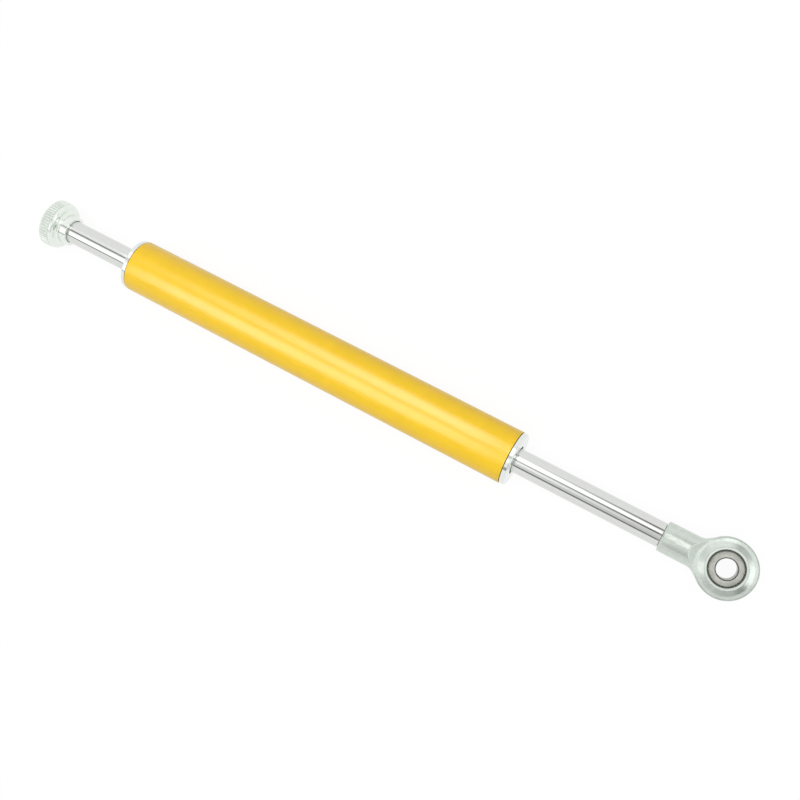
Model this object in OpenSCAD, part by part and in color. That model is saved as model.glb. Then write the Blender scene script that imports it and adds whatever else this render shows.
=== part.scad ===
// Through-rod steering damper: a clamped tube, a rod that leaves it at both ends,
// a click-adjuster knob on one end of the rod and a spherical rod end on the other.
// X runs along the rod towards the rod end, Z along the rod end's bolt hole.

/* [Tube] */
// Wall of the cylinder tube
tube_wall = 2.2; // [1.5:0.1:3]
// Length of the cylinder tube
tube_l = 181.2; // [150:0.2:240]
// Bevel on the tube's outer edges
tube_bevel = 0.2; // [0.1:0.05:0.4]

/* [End caps] */
// Wall of the cap around the seal and the bush
cap_wall = 1.37; // [1.2:0.01:2.5]
// Step from the tube's outside in to the cap's flange
cap_step = 0.2; // [0.1:0.05:0.5]
// Thickness of the cap's flange
cap_flange_t = 2.3; // [1.6:0.1:2.8]
// Rounding of the flange's outer edge
cap_round = 0.7; // [0.3:0.1:1.2]
// Web between the wiper's seat and the seal's seat
cap_web = 3.2; // [2.8:0.1:5]
// Land past the clip groove at the cap's inner end
cap_land = 1.5; // [1:0.1:3]
// Section diameter of the ring that seals the cap in the tube
cap_ring_d = 1.3; // [1:0.1:1.6]

/* [Seals and bushes] */
// Radial section of the dust wiper
wiper_w = 1; // [0.8:0.1:2.4]
// Length of the dust wiper
wiper_l = 2.6; // [2:0.1:3]
// Thickness of the wiper's lip
wiper_lip = 0.4; // [0.3:0.1:0.6]
// Depth of the wiper below the cap's face
wiper_sink = 0.3; // [0.1:0.1:0.8]
// Radial section of the rod seal
seal_w = 2.6; // [2.2:0.1:3.2]
// Length of the rod seal
seal_l = 5; // [4:0.1:7]
// Thickness of the rod seal's two lips
seal_lip = 0.8; // [0.5:0.1:1]
// Depth of the groove between the seal's lips
seal_notch = 2; // [1:0.1:3]
// Length of the guide bush
bush_l = 9; // [6:0.1:14]
// Thickness of the clip that holds the bush
bush_clip_t = 1; // [0.8:0.1:1.4]
// Depth of the bush clip in its groove
bush_clip_bite = 0.6; // [0.4:0.05:0.8]
// Radial width of the bush clip
bush_clip_w = 1.8; // [1.4:0.1:2.2]

/* [Piston] */
// Length of the piston
piston_l = 14; // [12:0.5:24]
// Width of the piston's sliding band
band_w = 4; // [3:0.1:5]
// Thickness of the piston's sliding band
band_t = 1; // [0.6:0.05:1.2]
// Section diameter of the ring under the band
band_ring_d = 1.2; // [0.9:0.1:1.4]
// Section diameter of the ring in the piston's bore
bore_ring_d = 1; // [0.8:0.1:1.2]
// Thickness of the clips beside the piston
piston_clip_t = 1; // [0.8:0.1:1.4]
// Depth of the piston clips in the rod
piston_clip_bite = 0.5; // [0.3:0.05:0.7]
// Radial width of the piston clips
piston_clip_w = 2; // [1.5:0.1:2.6]

/* [Rod] */
// Diameter of the chromed rod
rod_d = 10; // [9:0.1:12]
// Diameter of the drilling along the rod
rod_bore_d = 4.2; // [3.8:0.1:4.8]
// Bare rod between the knob and its end cap at rest
knob_gap = 33.8; // [25:0.1:60]
// Bare rod between the rod end and its end cap at rest
eye_gap = 62.7; // [50:0.1:90]
// Diameter of the oil ports drilled across the rod
port_d = 2; // [1.4:0.1:2.6]
// Distance from a piston clip to the oil port beside it
port_offset = 4; // [3:0.1:8]
// Depth of the drilling past the last port
drill_overrun = 2; // [1.5:0.1:5]

/* [Rod end] */
// Diameter of the thread in the rod end
stud_d = 8; // [6:0.5:9]
// Depth of the thread past the stud's end
thread_runout = 0.8; // [0.5:0.1:2]
// Metal between the thread's end and the faced ring
thread_wall = 0.8; // [0.5:0.1:2]
// Wall of the shank around the thread
shank_wall = 2.2; // [1.8:0.1:3]
// Chamfer on the shank's end
shank_chamfer = 0.6; // [0.3:0.1:1]
// Distance from the shank's end to the bolt hole
rod_end_l = 26.1; // [25:0.1:36]
// Diameter of the bolt hole in the ball
bolt_d = 8; // [6:0.5:10]
// Chamfer on the bolt hole
bolt_chamfer = 0.3; // [0.1:0.1:0.6]
// Width of the ball across its flats
ball_w = 12; // [10:0.5:16]
// Flat land around the bolt hole
ball_land = 1.2; // [0.8:0.1:2]
// Width of the bearing race
race_w = 8; // [7:0.5:9.5]
// Thinnest wall of the race
race_wall = 1.06; // [0.8:0.02:1.6]
// Chamfer on the race's outer edges
race_chamfer = 1; // [0.6:0.1:1.4]
// Wall of the eye around the race
eye_wall = 2.9; // [2.4:0.1:4]
// Thickness of the lip that holds the race in
lip_t = 0.5; // [0.3:0.1:0.8]
// Width of that lip's top
lip_w = 0.9; // [0.3:0.1:1]
// Gap between the ball and the lip, seen along the bolt hole
lip_gap = 0.35; // [0.1:0.05:0.4]
// Drop from the lip to the eye's face
face_drop = 0.8; // [0.4:0.1:1.2]
// Radial width of the cove between lip and face
cove_w = 2.1; // [1:0.1:2.2]
// Radial width and height of the rounded rim of the eye
rim_w = 0.6; // [0.3:0.1:1]
// Angle of the neck's flanks to the rod
neck_angle = 35; // [25:1:45]
// Radius of the fillet between shank and neck
neck_fillet = 5; // [2:0.5:7]
// Width of the faced ring around the eye
facing_w = 3.5; // [2:0.1:5]
// Rise of the facing from the eye to its outer edge
facing_rise = 2.8; // [0.4:0.1:3.2]

/* [Knob] */
// Diameter of the knob over its knurl
knob_d = 20.8; // [17:0.2:26]
// Length of the knurled band
knurl_l = 5.4; // [3:0.1:9]
// Spacing of the knurl's teeth
knurl_pitch = 1.3; // [0.9:0.1:2]
// Depth of the knurl
knurl_depth = 0.4; // [0.2:0.05:0.6]
// Chamfer on the knob's outer edge
knob_chamfer = 0.6; // [0.3:0.1:1]
// Length of the smooth shoulder
shoulder_l = 2; // [1.9:0.1:4]
// Rounding of the shoulder's edge
shoulder_round = 1.5; // [0.6:0.1:1.8]
// Length of the neck
neck_l = 4.5; // [3:0.1:9]
// Wall of the neck
neck_wall = 1.2; // [0.8:0.1:2]
// Thickness of the knob's end wall
knob_wall = 5.6; // [5.2:0.1:6.8]

/* [Adjuster] */
// Length of the spindle's flatted drive inside the knob
drive_l = 3; // [2:0.1:3.4]
// Diameter of the spindle's drive
drive_d = 4.4; // [4:0.1:4.8]
// Depth of the flat on the spindle's drive
drive_flat = 0.4; // [0.2:0.05:0.6]
// Step from the rod's drilling out to the spindle's collar
collar_step = 0.8; // [0.6:0.05:1]
// Length of the spindle's collar
collar_l = 1.5; // [1.2:0.1:3]
// Thickness of the clip that holds the collar
collar_clip_t = 0.6; // [0.5:0.1:1]
// Depth of the collar clip in its groove
collar_clip_bite = 0.45; // [0.3:0.05:0.6]
// Depth of the collar clip below the rod's end
collar_clip_inset = 0.9; // [0.7:0.1:2]
// Length of the spindle's sealing land
seal_land_l = 3; // [2:0.1:6]
// Distance from the collar to the sealing land
seal_land_gap = 2; // [1:0.1:6]
// Section diameter of the spindle's sealing ring
spindle_ring_d = 0.8; // [0.6:0.05:1]
// Length of the spindle's metering land
meter_land_l = 8; // [6:0.5:12]
// Diameter of the oil passage in the spindle
passage_d = 1.8; // [1.2:0.1:2.4]
// Smallest metering hole
orifice_min = 0.5; // [0.3:0.1:0.8]
// Largest metering hole
orifice_max = 1.5; // [1:0.1:1.8]
// Diameter of the knob's screw
screw_d = 2.5; // [2:0.1:3]
// Length of the knob's screw under its head
screw_l = 6; // [4:0.1:6.4]
// Diameter of the screw's head
screw_head_d = 4.5; // [4:0.1:5]
// Height of the screw's head
screw_head_h = 1.5; // [1.2:0.1:1.8]
// Width across the corners of the screw's socket
screw_socket_d = 2.3; // [1.5:0.1:2.6]
// Depth of the screw's socket
screw_socket_h = 0.9; // [0.6:0.1:1.1]

/* [Detent] */
// Number of clicks in one turn of the knob
clicks = 6; // [4:1:8]
// Diameter of the detent ball
detent_d = 1.6; // [1.2:0.1:1.8]
// Distance from the rod's surface in to the detent ball
detent_inset = 0.95; // [0.9:0.05:1.2]
// Drop of the detent ball into a dimple
detent_drop = 0.35; // [0.2:0.05:0.5]
// Depth of the detent's hole in the knob's end wall
detent_hole_l = 4.3; // [3.6:0.1:4.6]
// Wire diameter of the detent spring
spring_wire = 0.25; // [0.15:0.05:0.3]
// Number of turns of the detent spring
spring_turns = 3.5; // [2:0.5:4]

/* [Clearances] */
// Gap of a fixed seat
seat_gap = 0.03; // [0.02:0.01:0.05]
// Radial gap of a running fit
run_gap = 0.05; // [0.03:0.01:0.08]
// Gap between a moving piece and a stop
end_gap = 0.1; // [0.05:0.01:0.2]
// Gap between pieces that pass each other
free_gap = 0.3; // [0.2:0.05:0.4]

/* [Hidden] */
$fn = 96;

gold = [0.93, 0.70, 0.14];
silver = [0.86, 0.87, 0.88];
chrome = [0.80, 0.81, 0.83];
zinc = [0.80, 0.84, 0.80];
steel = [0.66, 0.67, 0.64];
bronze = [0.72, 0.53, 0.30];
black = [0.08, 0.08, 0.09];
ptfe = [0.86, 0.85, 0.80];

// Radii, built outwards from the rod
rod_r = rod_d / 2;
seat_r = rod_r + seal_w;
spigot_r = seat_r + cap_wall;
tube_bore_r = spigot_r + seat_gap;
tube_r = tube_bore_r + tube_wall;
flange_r = tube_r - cap_step;
wiper_r = rod_r + wiper_w;

// Stations in a cap, from its outer face inwards
wiper_end = wiper_sink + wiper_l;
seal_start = wiper_end + cap_web;
bush_start = seal_start + seal_l + seat_gap;
bush_clip_start = bush_start + bush_l + seat_gap;
clip_groove_end = bush_clip_start + bush_clip_t + seat_gap;
cap_l = clip_groove_end + cap_land;
cap_ring_u = wiper_end + cap_web / 2;
cap_groove_depth = cap_ring_d + 2 * seat_gap;

// Places along the rod
cap_face_x = tube_l / 2 + cap_flange_t;
neck_x = -cap_face_x - knob_gap;
shank_x = cap_face_x + eye_gap;
eye_x = shank_x + rod_end_l;
knob_l = knurl_l + shoulder_l + neck_l;
knob_x = neck_x - knob_l;
knob_wall_x = knob_x + knob_wall;
rod_x = knob_wall_x + end_gap;
piston_x = (neck_x + shank_x) / 2;
clip_offset = piston_l / 2 + end_gap;
port_x = clip_offset + piston_clip_t + port_offset;
meter_x = piston_x - port_x;
drill_end_x = piston_x + port_x + drill_overrun;

// Piston
piston_r = tube_bore_r - 2 * run_gap;
piston_bore_r = rod_r + run_gap;
band_r = tube_bore_r - run_gap;
band_in_r = band_r - band_t;
band_groove_r = band_in_r - band_ring_d - 2 * seat_gap;
bore_ring_x = (band_w + piston_l) / 4;
piston_clip_r = rod_r - piston_clip_bite;

// Adjuster
rod_bore_r = rod_bore_d / 2;
land_r = rod_bore_r - run_gap;
spindle_r = rod_bore_r - free_gap;
collar_r = rod_bore_r + collar_step;
collar_seat_r = collar_r + end_gap;
collar_clip_x = rod_x + collar_clip_inset;
collar_x = collar_clip_x + collar_clip_t + end_gap;
collar_seat_x = collar_x + collar_l + end_gap;
seal_land_x = collar_x + collar_l + seal_land_gap;
spindle_x = knob_wall_x - drive_l;
spindle_end_x = meter_x + meter_land_l / 2;
drive_r = drive_d / 2;
head_floor_x = knob_x + screw_head_h + free_gap;
screw_r = screw_d / 2;
screw_end_x = head_floor_x + screw_l;

// Detent
detent_r = detent_d / 2;
detent_pitch_r = rod_r - detent_inset;
detent_x = rod_x - run_gap - detent_r;
detent_hole_r = detent_r + run_gap;
detent_floor_x = knob_wall_x - detent_hole_l;
spring_r = detent_r - spring_wire / 2;
spring_l = detent_x - detent_r - detent_floor_x - 2 * seat_gap - spring_wire;
spring_sides = 6;
spring_steps = 8;

// Rod end
stud_r = stud_d / 2;
shank_r = stud_r + shank_wall;
bolt_r = bolt_d / 2;
ball_flat_r = bolt_r + ball_land;
ball_r = sqrt(pow(ball_flat_r, 2) + pow(ball_w / 2, 2));
race_r = ball_r + run_gap + race_wall;
eye_r = race_r + eye_wall;
race_h = race_w / 2;
race_mouth_r = sqrt(pow(ball_r, 2) - pow(race_h, 2));
lip_r = race_mouth_r + lip_gap;
lip_h = race_h + seat_gap + lip_t;
face_h = lip_h - face_drop;
rim_h = face_h - rim_w;
facing_r = eye_r + facing_w;
thread_l = rod_end_l - facing_r - thread_wall;
stud_l = thread_l - thread_runout;
flank_r = eye_r * cos(neck_angle);
flank_u = rod_end_l - eye_r * sin(neck_angle);
corner_u = flank_u - (flank_r - shank_r) / tan(neck_angle);
fillet_run = neck_fillet * tan(neck_angle / 2);
fillet_u = corner_u - fillet_run;
fillet_steps = 8;
facing_h = (face_h + rim_h) / 2;

// Knob
knob_r = knob_d / 2;
knurl_teeth = round(PI * knob_d / knurl_pitch);
shoulder_r = knob_r - knurl_depth / 2;
neck_in_r = rod_r + free_gap;
neck_r = neck_in_r + neck_wall;
shoulder_end = knurl_l + shoulder_l;

// Puts a piece drawn along Z on the rod's axis, starting at x
module along_x(x = 0) {
    translate([x, 0, 0]) rotate([0, 90, 0]) children();
}

// Draws a piece at the knob's end cap, with its stations running inwards from the cap's face
module at_knob_side() {
    along_x(-cap_face_x) children();
}

// Draws the same piece at the rod end's cap
module at_eye_side() {
    mirror([1, 0, 0]) at_knob_side() children();
}

// Plain ring between two radii and two stations
module ring(inner, outer, start, end) {
    rotate_extrude() translate([inner, start]) square([outer - inner, end - start]);
}

// Ring of round section
module round_ring(inner, section, station) {
    rotate_extrude() translate([inner + section / 2, station]) circle(d = section);
}

// Open clip of flat section
module open_clip(inner, outer, start, thickness) {
    slot = outer - inner;
    difference() {
        ring(inner, outer, start, start + thickness);
        translate([0, -slot / 2, start - thickness]) cube([2 * outer, slot, 3 * thickness]);
    }
}

// Radial drilling from the axis outwards, at a station and an angle
module radial_drill(diameter, length, station, angle) {
    translate([0, 0, station]) rotate([0, 0, angle]) rotate([0, 90, 0]) cylinder(d = diameter, h = length);
}

module cylinder_tube() {
    color(gold) along_x(-tube_l / 2) rotate_extrude() polygon([
        [tube_bore_r, 0],
        [tube_r - tube_bevel, 0],
        [tube_r, tube_bevel],
        [tube_r, tube_l - tube_bevel],
        [tube_r - tube_bevel, tube_l],
        [tube_bore_r, tube_l]
    ]);
}

module end_cap() {
    color(silver) difference() {
        union() {
            rotate_extrude() union() {
                square([flange_r - cap_round, cap_flange_t]);
                translate([0, cap_round]) square([flange_r, cap_flange_t - cap_round]);
                translate([flange_r - cap_round, cap_round]) circle(r = cap_round);
            }
            ring(0, spigot_r, cap_flange_t / 2, cap_l);
        }
        ring(0, wiper_r, -cap_flange_t, wiper_end);
        ring(0, rod_r + free_gap, 0, cap_l);
        ring(0, seat_r, seal_start, cap_l + cap_land);
        ring(0, seat_r + bush_clip_bite, bush_clip_start, clip_groove_end);
        ring(
            spigot_r - cap_groove_depth, tube_r,
            cap_ring_u - cap_ring_d / 2 - seat_gap, cap_ring_u + cap_ring_d / 2 + seat_gap
        );
    }
}

module cap_ring() {
    color(black) round_ring(spigot_r - cap_groove_depth + seat_gap, cap_ring_d, cap_ring_u);
}

module wiper() {
    tip_r = rod_r + run_gap;
    color(black) rotate_extrude() polygon([
        [tip_r, wiper_sink],
        [tip_r + wiper_lip, wiper_sink],
        [wiper_r - seat_gap, wiper_sink + wiper_lip],
        [wiper_r - seat_gap, wiper_end - seat_gap],
        [tip_r + wiper_lip, wiper_end - seat_gap]
    ]);
}

module rod_seal() {
    inner = rod_r + run_gap;
    outer = seat_r - seat_gap;
    end = seal_start + seal_l;
    color(black) rotate_extrude() polygon([
        [inner, seal_start + seat_gap],
        [outer, seal_start + seat_gap],
        [outer, end],
        [outer - seal_lip, end],
        [(inner + outer) / 2, end - seal_notch],
        [inner + seal_lip, end],
        [inner, end]
    ]);
}

module bush() {
    color(bronze) ring(rod_r + run_gap, seat_r - seat_gap, bush_start, bush_start + bush_l);
}

module bush_clip() {
    outer = seat_r + bush_clip_bite - seat_gap;
    color(steel) open_clip(outer - bush_clip_w, outer, bush_clip_start, bush_clip_t);
}

module knob_side_cap() { at_knob_side() end_cap(); }
module knob_side_cap_ring() { at_knob_side() cap_ring(); }
module knob_side_wiper() { at_knob_side() wiper(); }
module knob_side_rod_seal() { at_knob_side() rod_seal(); }
module knob_side_bush() { at_knob_side() bush(); }
module knob_side_bush_clip() { at_knob_side() bush_clip(); }
module eye_side_cap() { at_eye_side() end_cap(); }
module eye_side_cap_ring() { at_eye_side() cap_ring(); }
module eye_side_wiper() { at_eye_side() wiper(); }
module eye_side_rod_seal() { at_eye_side() rod_seal(); }
module eye_side_bush() { at_eye_side() bush(); }
module eye_side_bush_clip() { at_eye_side() bush_clip(); }

module piston() {
    band_half = band_w / 2 + seat_gap;
    ring_half = bore_ring_d / 2 + seat_gap;
    color(bronze) along_x(piston_x) difference() {
        ring(piston_bore_r, piston_r, -piston_l / 2, piston_l / 2);
        ring(band_groove_r, tube_r, -band_half, band_half);
        ring(0, piston_bore_r + 2 * ring_half, bore_ring_x - ring_half, bore_ring_x + ring_half);
    }
}

module piston_band() {
    color(ptfe) along_x(piston_x) ring(band_in_r, band_r, -band_w / 2, band_w / 2);
}

module piston_band_ring() {
    color(black) along_x(piston_x) round_ring(band_groove_r + seat_gap, band_ring_d, 0);
}

module piston_bore_ring() {
    color(black) along_x(piston_x) round_ring(piston_bore_r, bore_ring_d, bore_ring_x);
}

module piston_clip() {
    inner = piston_clip_r + seat_gap;
    color(steel) open_clip(inner, piston_clip_r + piston_clip_w, clip_offset, piston_clip_t);
}

module piston_clip_eye_side() {
    along_x(piston_x) piston_clip();
}

module piston_clip_knob_side() {
    along_x(piston_x) mirror([0, 0, 1]) piston_clip();
}

// Groove in the rod for one piston clip
module piston_clip_groove() {
    ring(piston_clip_r, rod_d, clip_offset - seat_gap, clip_offset + piston_clip_t + seat_gap);
}

// Place of the detent ball at one click, in a frame that starts at the rod's end
module at_click(index) {
    rotate([0, 0, index * 360 / clicks]) translate([detent_pitch_r, 0, 0]) children();
}

module piston_rod() {
    rod_l = shank_x - rod_x;
    color(chrome) difference() {
        union() {
            along_x(rod_x) cylinder(r = rod_r, h = rod_l);
            along_x(shank_x - stud_l) cylinder(r = stud_r, h = 2 * stud_l);
        }
        along_x(rod_x - rod_d) cylinder(r = rod_bore_r, h = drill_end_x - rod_x + rod_d);
        along_x() ring(0, collar_seat_r, rod_x - rod_d, collar_seat_x);
        along_x() ring(
            0, collar_seat_r + collar_clip_bite,
            collar_clip_x - seat_gap, collar_clip_x + collar_clip_t + seat_gap
        );
        along_x(piston_x) {
            piston_clip_groove();
            mirror([0, 0, 1]) piston_clip_groove();
            radial_drill(port_d, rod_d, -port_x, 180);
            radial_drill(port_d, rod_d, port_x, 0);
            radial_drill(port_d, rod_d, port_x, 180);
        }
        along_x(detent_x + detent_drop) for (i = [0 : clicks - 1])
            at_click(i) sphere(r = detent_hole_r);
    }
}

module spindle_clip() {
    color(steel) along_x() open_clip(
        drive_r + free_gap, collar_seat_r + collar_clip_bite - seat_gap, collar_clip_x, collar_clip_t
    );
}

// Shank and neck, turned about the rod's axis, with an arc of fillet between them
module turned_shank() {
    rotate_extrude() polygon(concat(
        [[0, 0], [shank_r - shank_chamfer, 0], [shank_r, shank_chamfer]],
        [
            for (i = [0 : fillet_steps])
                let (angle = neck_angle * i / fillet_steps)
                    [
                        shank_r + neck_fillet * (1 - cos(angle)),
                        fillet_u + neck_fillet * sin(angle)
                    ]
        ],
        [[flank_r, flank_u], [0, flank_u]]
    ));
}

// Turns a section that is alike above and below, from the points of its upper half
module turned_pair(upper) {
    lower = [for (i = [len(upper) - 1 : -1 : 0]) [upper[i][0], -upper[i][1]]];
    rotate_extrude() polygon(concat(upper, lower));
}

// Eye without its hole, turned about the bolt hole
module turned_eye() {
    turned_pair([
        [0, lip_h],
        [lip_r + lip_w, lip_h],
        [lip_r + lip_w + cove_w, face_h],
        [eye_r - rim_w, face_h],
        [eye_r, rim_h]
    ]);
}

// Race or its pocket, grown by a gap, without the ball's seat
module turned_race(gap = 0) {
    turned_pair([
        [0, race_h + gap],
        [race_r - race_chamfer + gap, race_h + gap],
        [race_r + gap, race_h - race_chamfer + gap]
    ]);
}

// What the facing cut takes off the neck on one side
module facing_cut() {
    rotate_extrude() polygon([
        [0, facing_h],
        [eye_r, facing_h],
        [facing_r, facing_h + facing_rise],
        [facing_r, eye_r],
        [0, eye_r]
    ]);
}

module rod_end_body() {
    color(zinc) difference() {
        union() {
            difference() {
                along_x(shank_x) turned_shank();
                translate([eye_x, 0, 0]) facing_cut();
                translate([eye_x, 0, 0]) mirror([0, 0, 1]) facing_cut();
            }
            translate([eye_x, 0, 0]) turned_eye();
        }
        translate([eye_x, 0, 0]) cylinder(r = lip_r, h = 2 * eye_r, center = true);
        translate([eye_x, 0, 0]) turned_race(seat_gap);
        along_x(shank_x - thread_l) cylinder(r = stud_r + seat_gap, h = 2 * thread_l);
    }
}

module rod_end_race() {
    color(steel) translate([eye_x, 0, 0]) difference() {
        turned_race();
        sphere(r = ball_r + run_gap);
    }
}

module rod_end_ball() {
    color(steel) translate([eye_x, 0, 0]) difference() {
        intersection() {
            sphere(r = ball_r);
            cube([2 * eye_r, 2 * eye_r, ball_w], center = true);
        }
        cylinder(r = bolt_r, h = 2 * ball_w, center = true);
        for (side = [0, 1])
            mirror([0, 0, side]) translate([0, 0, ball_w / 2 - bolt_chamfer])
                cylinder(r1 = bolt_r, r2 = bolt_r + 2 * bolt_chamfer, h = 2 * bolt_chamfer);
    }
}

// Outline of the knurl: a straight-sided tooth at each pitch
module knurl_outline() {
    polygon([
        for (i = [0 : 2 * knurl_teeth - 1])
            let (radius = knob_r - (i % 2) * knurl_depth, angle = i * 180 / knurl_teeth)
                [radius * cos(angle), radius * sin(angle)]
    ]);
}

// Flatted section of the spindle's drive, grown by a gap
module drive_outline(gap = 0) {
    difference() {
        circle(r = drive_r + gap);
        translate([-drive_d, drive_r - drive_flat + gap]) square([2 * drive_d, drive_d]);
    }
}

module adjuster_knob() {
    color(zinc) along_x(knob_x) difference() {
        union() {
            intersection() {
                linear_extrude(knurl_l) knurl_outline();
                cylinder(r1 = knob_r - knob_chamfer, r2 = knob_r - knob_chamfer + knurl_l, h = knurl_l);
            }
            rotate_extrude() union() {
                translate([0, knob_chamfer]) square([shoulder_r - knurl_depth, knurl_l]);
                translate([0, knurl_l]) square([shoulder_r, shoulder_l - shoulder_round]);
                translate([0, knurl_l]) square([shoulder_r - shoulder_round, shoulder_l]);
                translate([shoulder_r - shoulder_round, shoulder_end - shoulder_round])
                    circle(r = shoulder_round);
            }
            cylinder(r = neck_r, h = knob_l);
        }
        ring(0, neck_in_r, knob_wall, 2 * knob_l);
        translate([0, 0, knob_wall - drive_l - seat_gap]) linear_extrude(knob_l) drive_outline(seat_gap);
        translate([0, 0, -knob_l]) cylinder(r = screw_r + seat_gap, h = 2 * knob_l);
        ring(0, screw_head_d / 2 + seat_gap, -knob_l, screw_head_h + free_gap);
        at_click(0) translate([0, 0, knob_wall - detent_hole_l]) cylinder(r = detent_hole_r, h = knob_l);
    }
}

module adjuster_spindle() {
    orifice_step = (orifice_max - orifice_min) / (clicks - 1);
    color(bronze) along_x() difference() {
        union() {
            translate([0, 0, spindle_x]) linear_extrude(collar_x - spindle_x) drive_outline();
            ring(0, collar_r, collar_x, collar_x + collar_l);
            ring(0, spindle_r, collar_x, spindle_end_x);
            ring(0, land_r, seal_land_x, seal_land_x + seal_land_l);
            ring(0, land_r, meter_x - meter_land_l / 2, spindle_end_x);
        }
        ring(
            land_r - spindle_ring_d - seat_gap, rod_d,
            seal_land_x + (seal_land_l - spindle_ring_d) / 2 - seat_gap,
            seal_land_x + (seal_land_l + spindle_ring_d) / 2 + seat_gap
        );
        ring(0, screw_r + seat_gap, spindle_x - screw_d, screw_end_x + seat_gap);
        ring(0, passage_d / 2, meter_x - passage_d, spindle_end_x + passage_d);
        for (i = [0 : clicks - 1])
            radial_drill(orifice_min + i * orifice_step, rod_d, meter_x, 180 - i * 360 / clicks);
    }
}

module spindle_ring() {
    color(black) along_x() round_ring(
        land_r - spindle_ring_d, spindle_ring_d, seal_land_x + seal_land_l / 2
    );
}

module knob_screw() {
    color(steel) along_x() difference() {
        union() {
            ring(0, screw_head_d / 2, head_floor_x - screw_head_h, head_floor_x);
            ring(0, screw_r, head_floor_x - screw_head_h, screw_end_x);
        }
        translate([0, 0, head_floor_x - screw_head_h - screw_socket_h])
            cylinder(d = screw_socket_d, h = 2 * screw_socket_h, $fn = 6);
    }
}

// One point of the spring's surface, at a step along the wire and an angle around it
function spring_point(step, side) =
    let (
        turn = step * 360 / spring_steps,
        around = side * 360 / spring_sides,
        radius = spring_r + cos(around) * spring_wire / 2,
        rise = spring_l * step / (spring_turns * spring_steps)
    )
    [radius * cos(turn), radius * sin(turn), rise + sin(around) * spring_wire / 2];

module coil_spring() {
    steps = spring_turns * spring_steps;
    last = steps * spring_sides;
    points = [
        for (step = [0 : steps])
            for (side = [0 : spring_sides - 1]) spring_point(step, side)
    ];
    skin = [
        for (step = [0 : steps - 1])
            for (side = [0 : spring_sides - 1])
                let (
                    here = step * spring_sides,
                    next = here + spring_sides,
                    beside = (side + 1) % spring_sides
                )
                    for (half = [
                        [here + side, next + beside, here + beside],
                        [here + side, next + side, next + beside]
                    ]) half
    ];
    start_cap = [for (side = [1 : spring_sides - 2]) [0, side, side + 1]];
    end_cap = [for (side = [1 : spring_sides - 2]) [last, last + side + 1, last + side]];
    polyhedron(points, concat(skin, start_cap, end_cap));
}

module detent_spring() {
    color(steel) along_x(detent_floor_x + seat_gap + spring_wire / 2) at_click(0) coil_spring();
}

module detent_ball() {
    color(steel) along_x(detent_x) at_click(0) sphere(r = detent_r);
}

cylinder_tube();
knob_side_cap();
knob_side_cap_ring();
knob_side_wiper();
knob_side_rod_seal();
knob_side_bush();
knob_side_bush_clip();
eye_side_cap();
eye_side_cap_ring();
eye_side_wiper();
eye_side_rod_seal();
eye_side_bush();
eye_side_bush_clip();
piston();
piston_band();
piston_band_ring();
piston_bore_ring();
piston_rod();
piston_clip_knob_side();
piston_clip_eye_side();
rod_end_body();
rod_end_race();
spindle_clip();
adjuster_knob();
adjuster_spindle();
spindle_ring();
knob_screw();
detent_spring();
detent_ball();
rod_end_ball();
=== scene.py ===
import math

import bmesh
import bpy
from mathutils import Matrix, Vector


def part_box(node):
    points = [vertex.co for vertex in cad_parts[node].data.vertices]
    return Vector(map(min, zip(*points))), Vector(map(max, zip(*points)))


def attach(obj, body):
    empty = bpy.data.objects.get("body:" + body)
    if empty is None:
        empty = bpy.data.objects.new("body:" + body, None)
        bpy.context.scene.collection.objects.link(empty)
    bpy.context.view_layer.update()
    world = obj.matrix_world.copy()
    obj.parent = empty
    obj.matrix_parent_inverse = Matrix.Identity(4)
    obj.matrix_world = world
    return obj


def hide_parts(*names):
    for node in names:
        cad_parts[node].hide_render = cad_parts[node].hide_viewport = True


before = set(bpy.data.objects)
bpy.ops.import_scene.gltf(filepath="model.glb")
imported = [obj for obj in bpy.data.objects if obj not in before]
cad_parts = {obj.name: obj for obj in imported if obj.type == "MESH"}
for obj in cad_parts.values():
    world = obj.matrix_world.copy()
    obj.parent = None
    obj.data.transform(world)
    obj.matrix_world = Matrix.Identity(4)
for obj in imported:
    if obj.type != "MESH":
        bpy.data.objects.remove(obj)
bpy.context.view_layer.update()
scene = bpy.context.scene
mm = 0.001


# Where the CAD pieces are

def reach(node):  # first and last station along the rod, and the radius about it
    low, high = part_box(node)
    radius = max(abs(low.y), abs(high.y), abs(low.z), abs(high.z))
    return low.x, high.x, radius


# Turned shapes

def rounded(corners, closed=False, steps=6):  # corners are (along, radius, round)
    outline = []
    count = len(corners)
    for index, (along, radius, fillet) in enumerate(corners):
        here = Vector((along, radius))
        if fillet == 0 or (not closed and index in (0, count - 1)):
            outline.append(here)
            continue
        back = (Vector(corners[index - 1][:2]) - here).normalized()
        ahead = (Vector(corners[(index + 1) % count][:2]) - here).normalized()
        half = back.angle(ahead) / 2
        run = fillet / math.tan(half)
        centre = here + (back + ahead).normalized() * fillet / math.sin(half)
        start = here + back * run - centre
        swing = math.copysign(math.pi - 2 * half, back.cross(ahead))
        hold = fillet * 0.15  # a close ring on each side keeps the flats flat
        outline.append(here + back * (run + hold))
        for step in range(steps + 1):
            outline.append(centre + Matrix.Rotation(-swing * step / steps, 2) @ start)
        outline.append(here + ahead * (run + hold))
    return outline


def shade(mesh, sharpAngle=38):  # smooth faces, with the sharp edges marked
    work = bmesh.new()
    work.from_mesh(mesh)
    for face in work.faces:
        face.smooth = True
    for edge in work.edges:
        edge.smooth = edge.is_manifold and edge.calc_face_angle() < math.radians(sharpAngle)
    work.to_mesh(mesh)
    work.free()


def newPiece(name, work):  # bmesh to an object at the origin
    bmesh.ops.recalc_face_normals(work, faces=work.faces)
    mesh = bpy.data.meshes.new(name)
    work.to_mesh(mesh)
    work.free()
    shade(mesh)
    piece = bpy.data.objects.new(name, mesh)
    scene.collection.objects.link(piece)
    return piece


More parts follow.
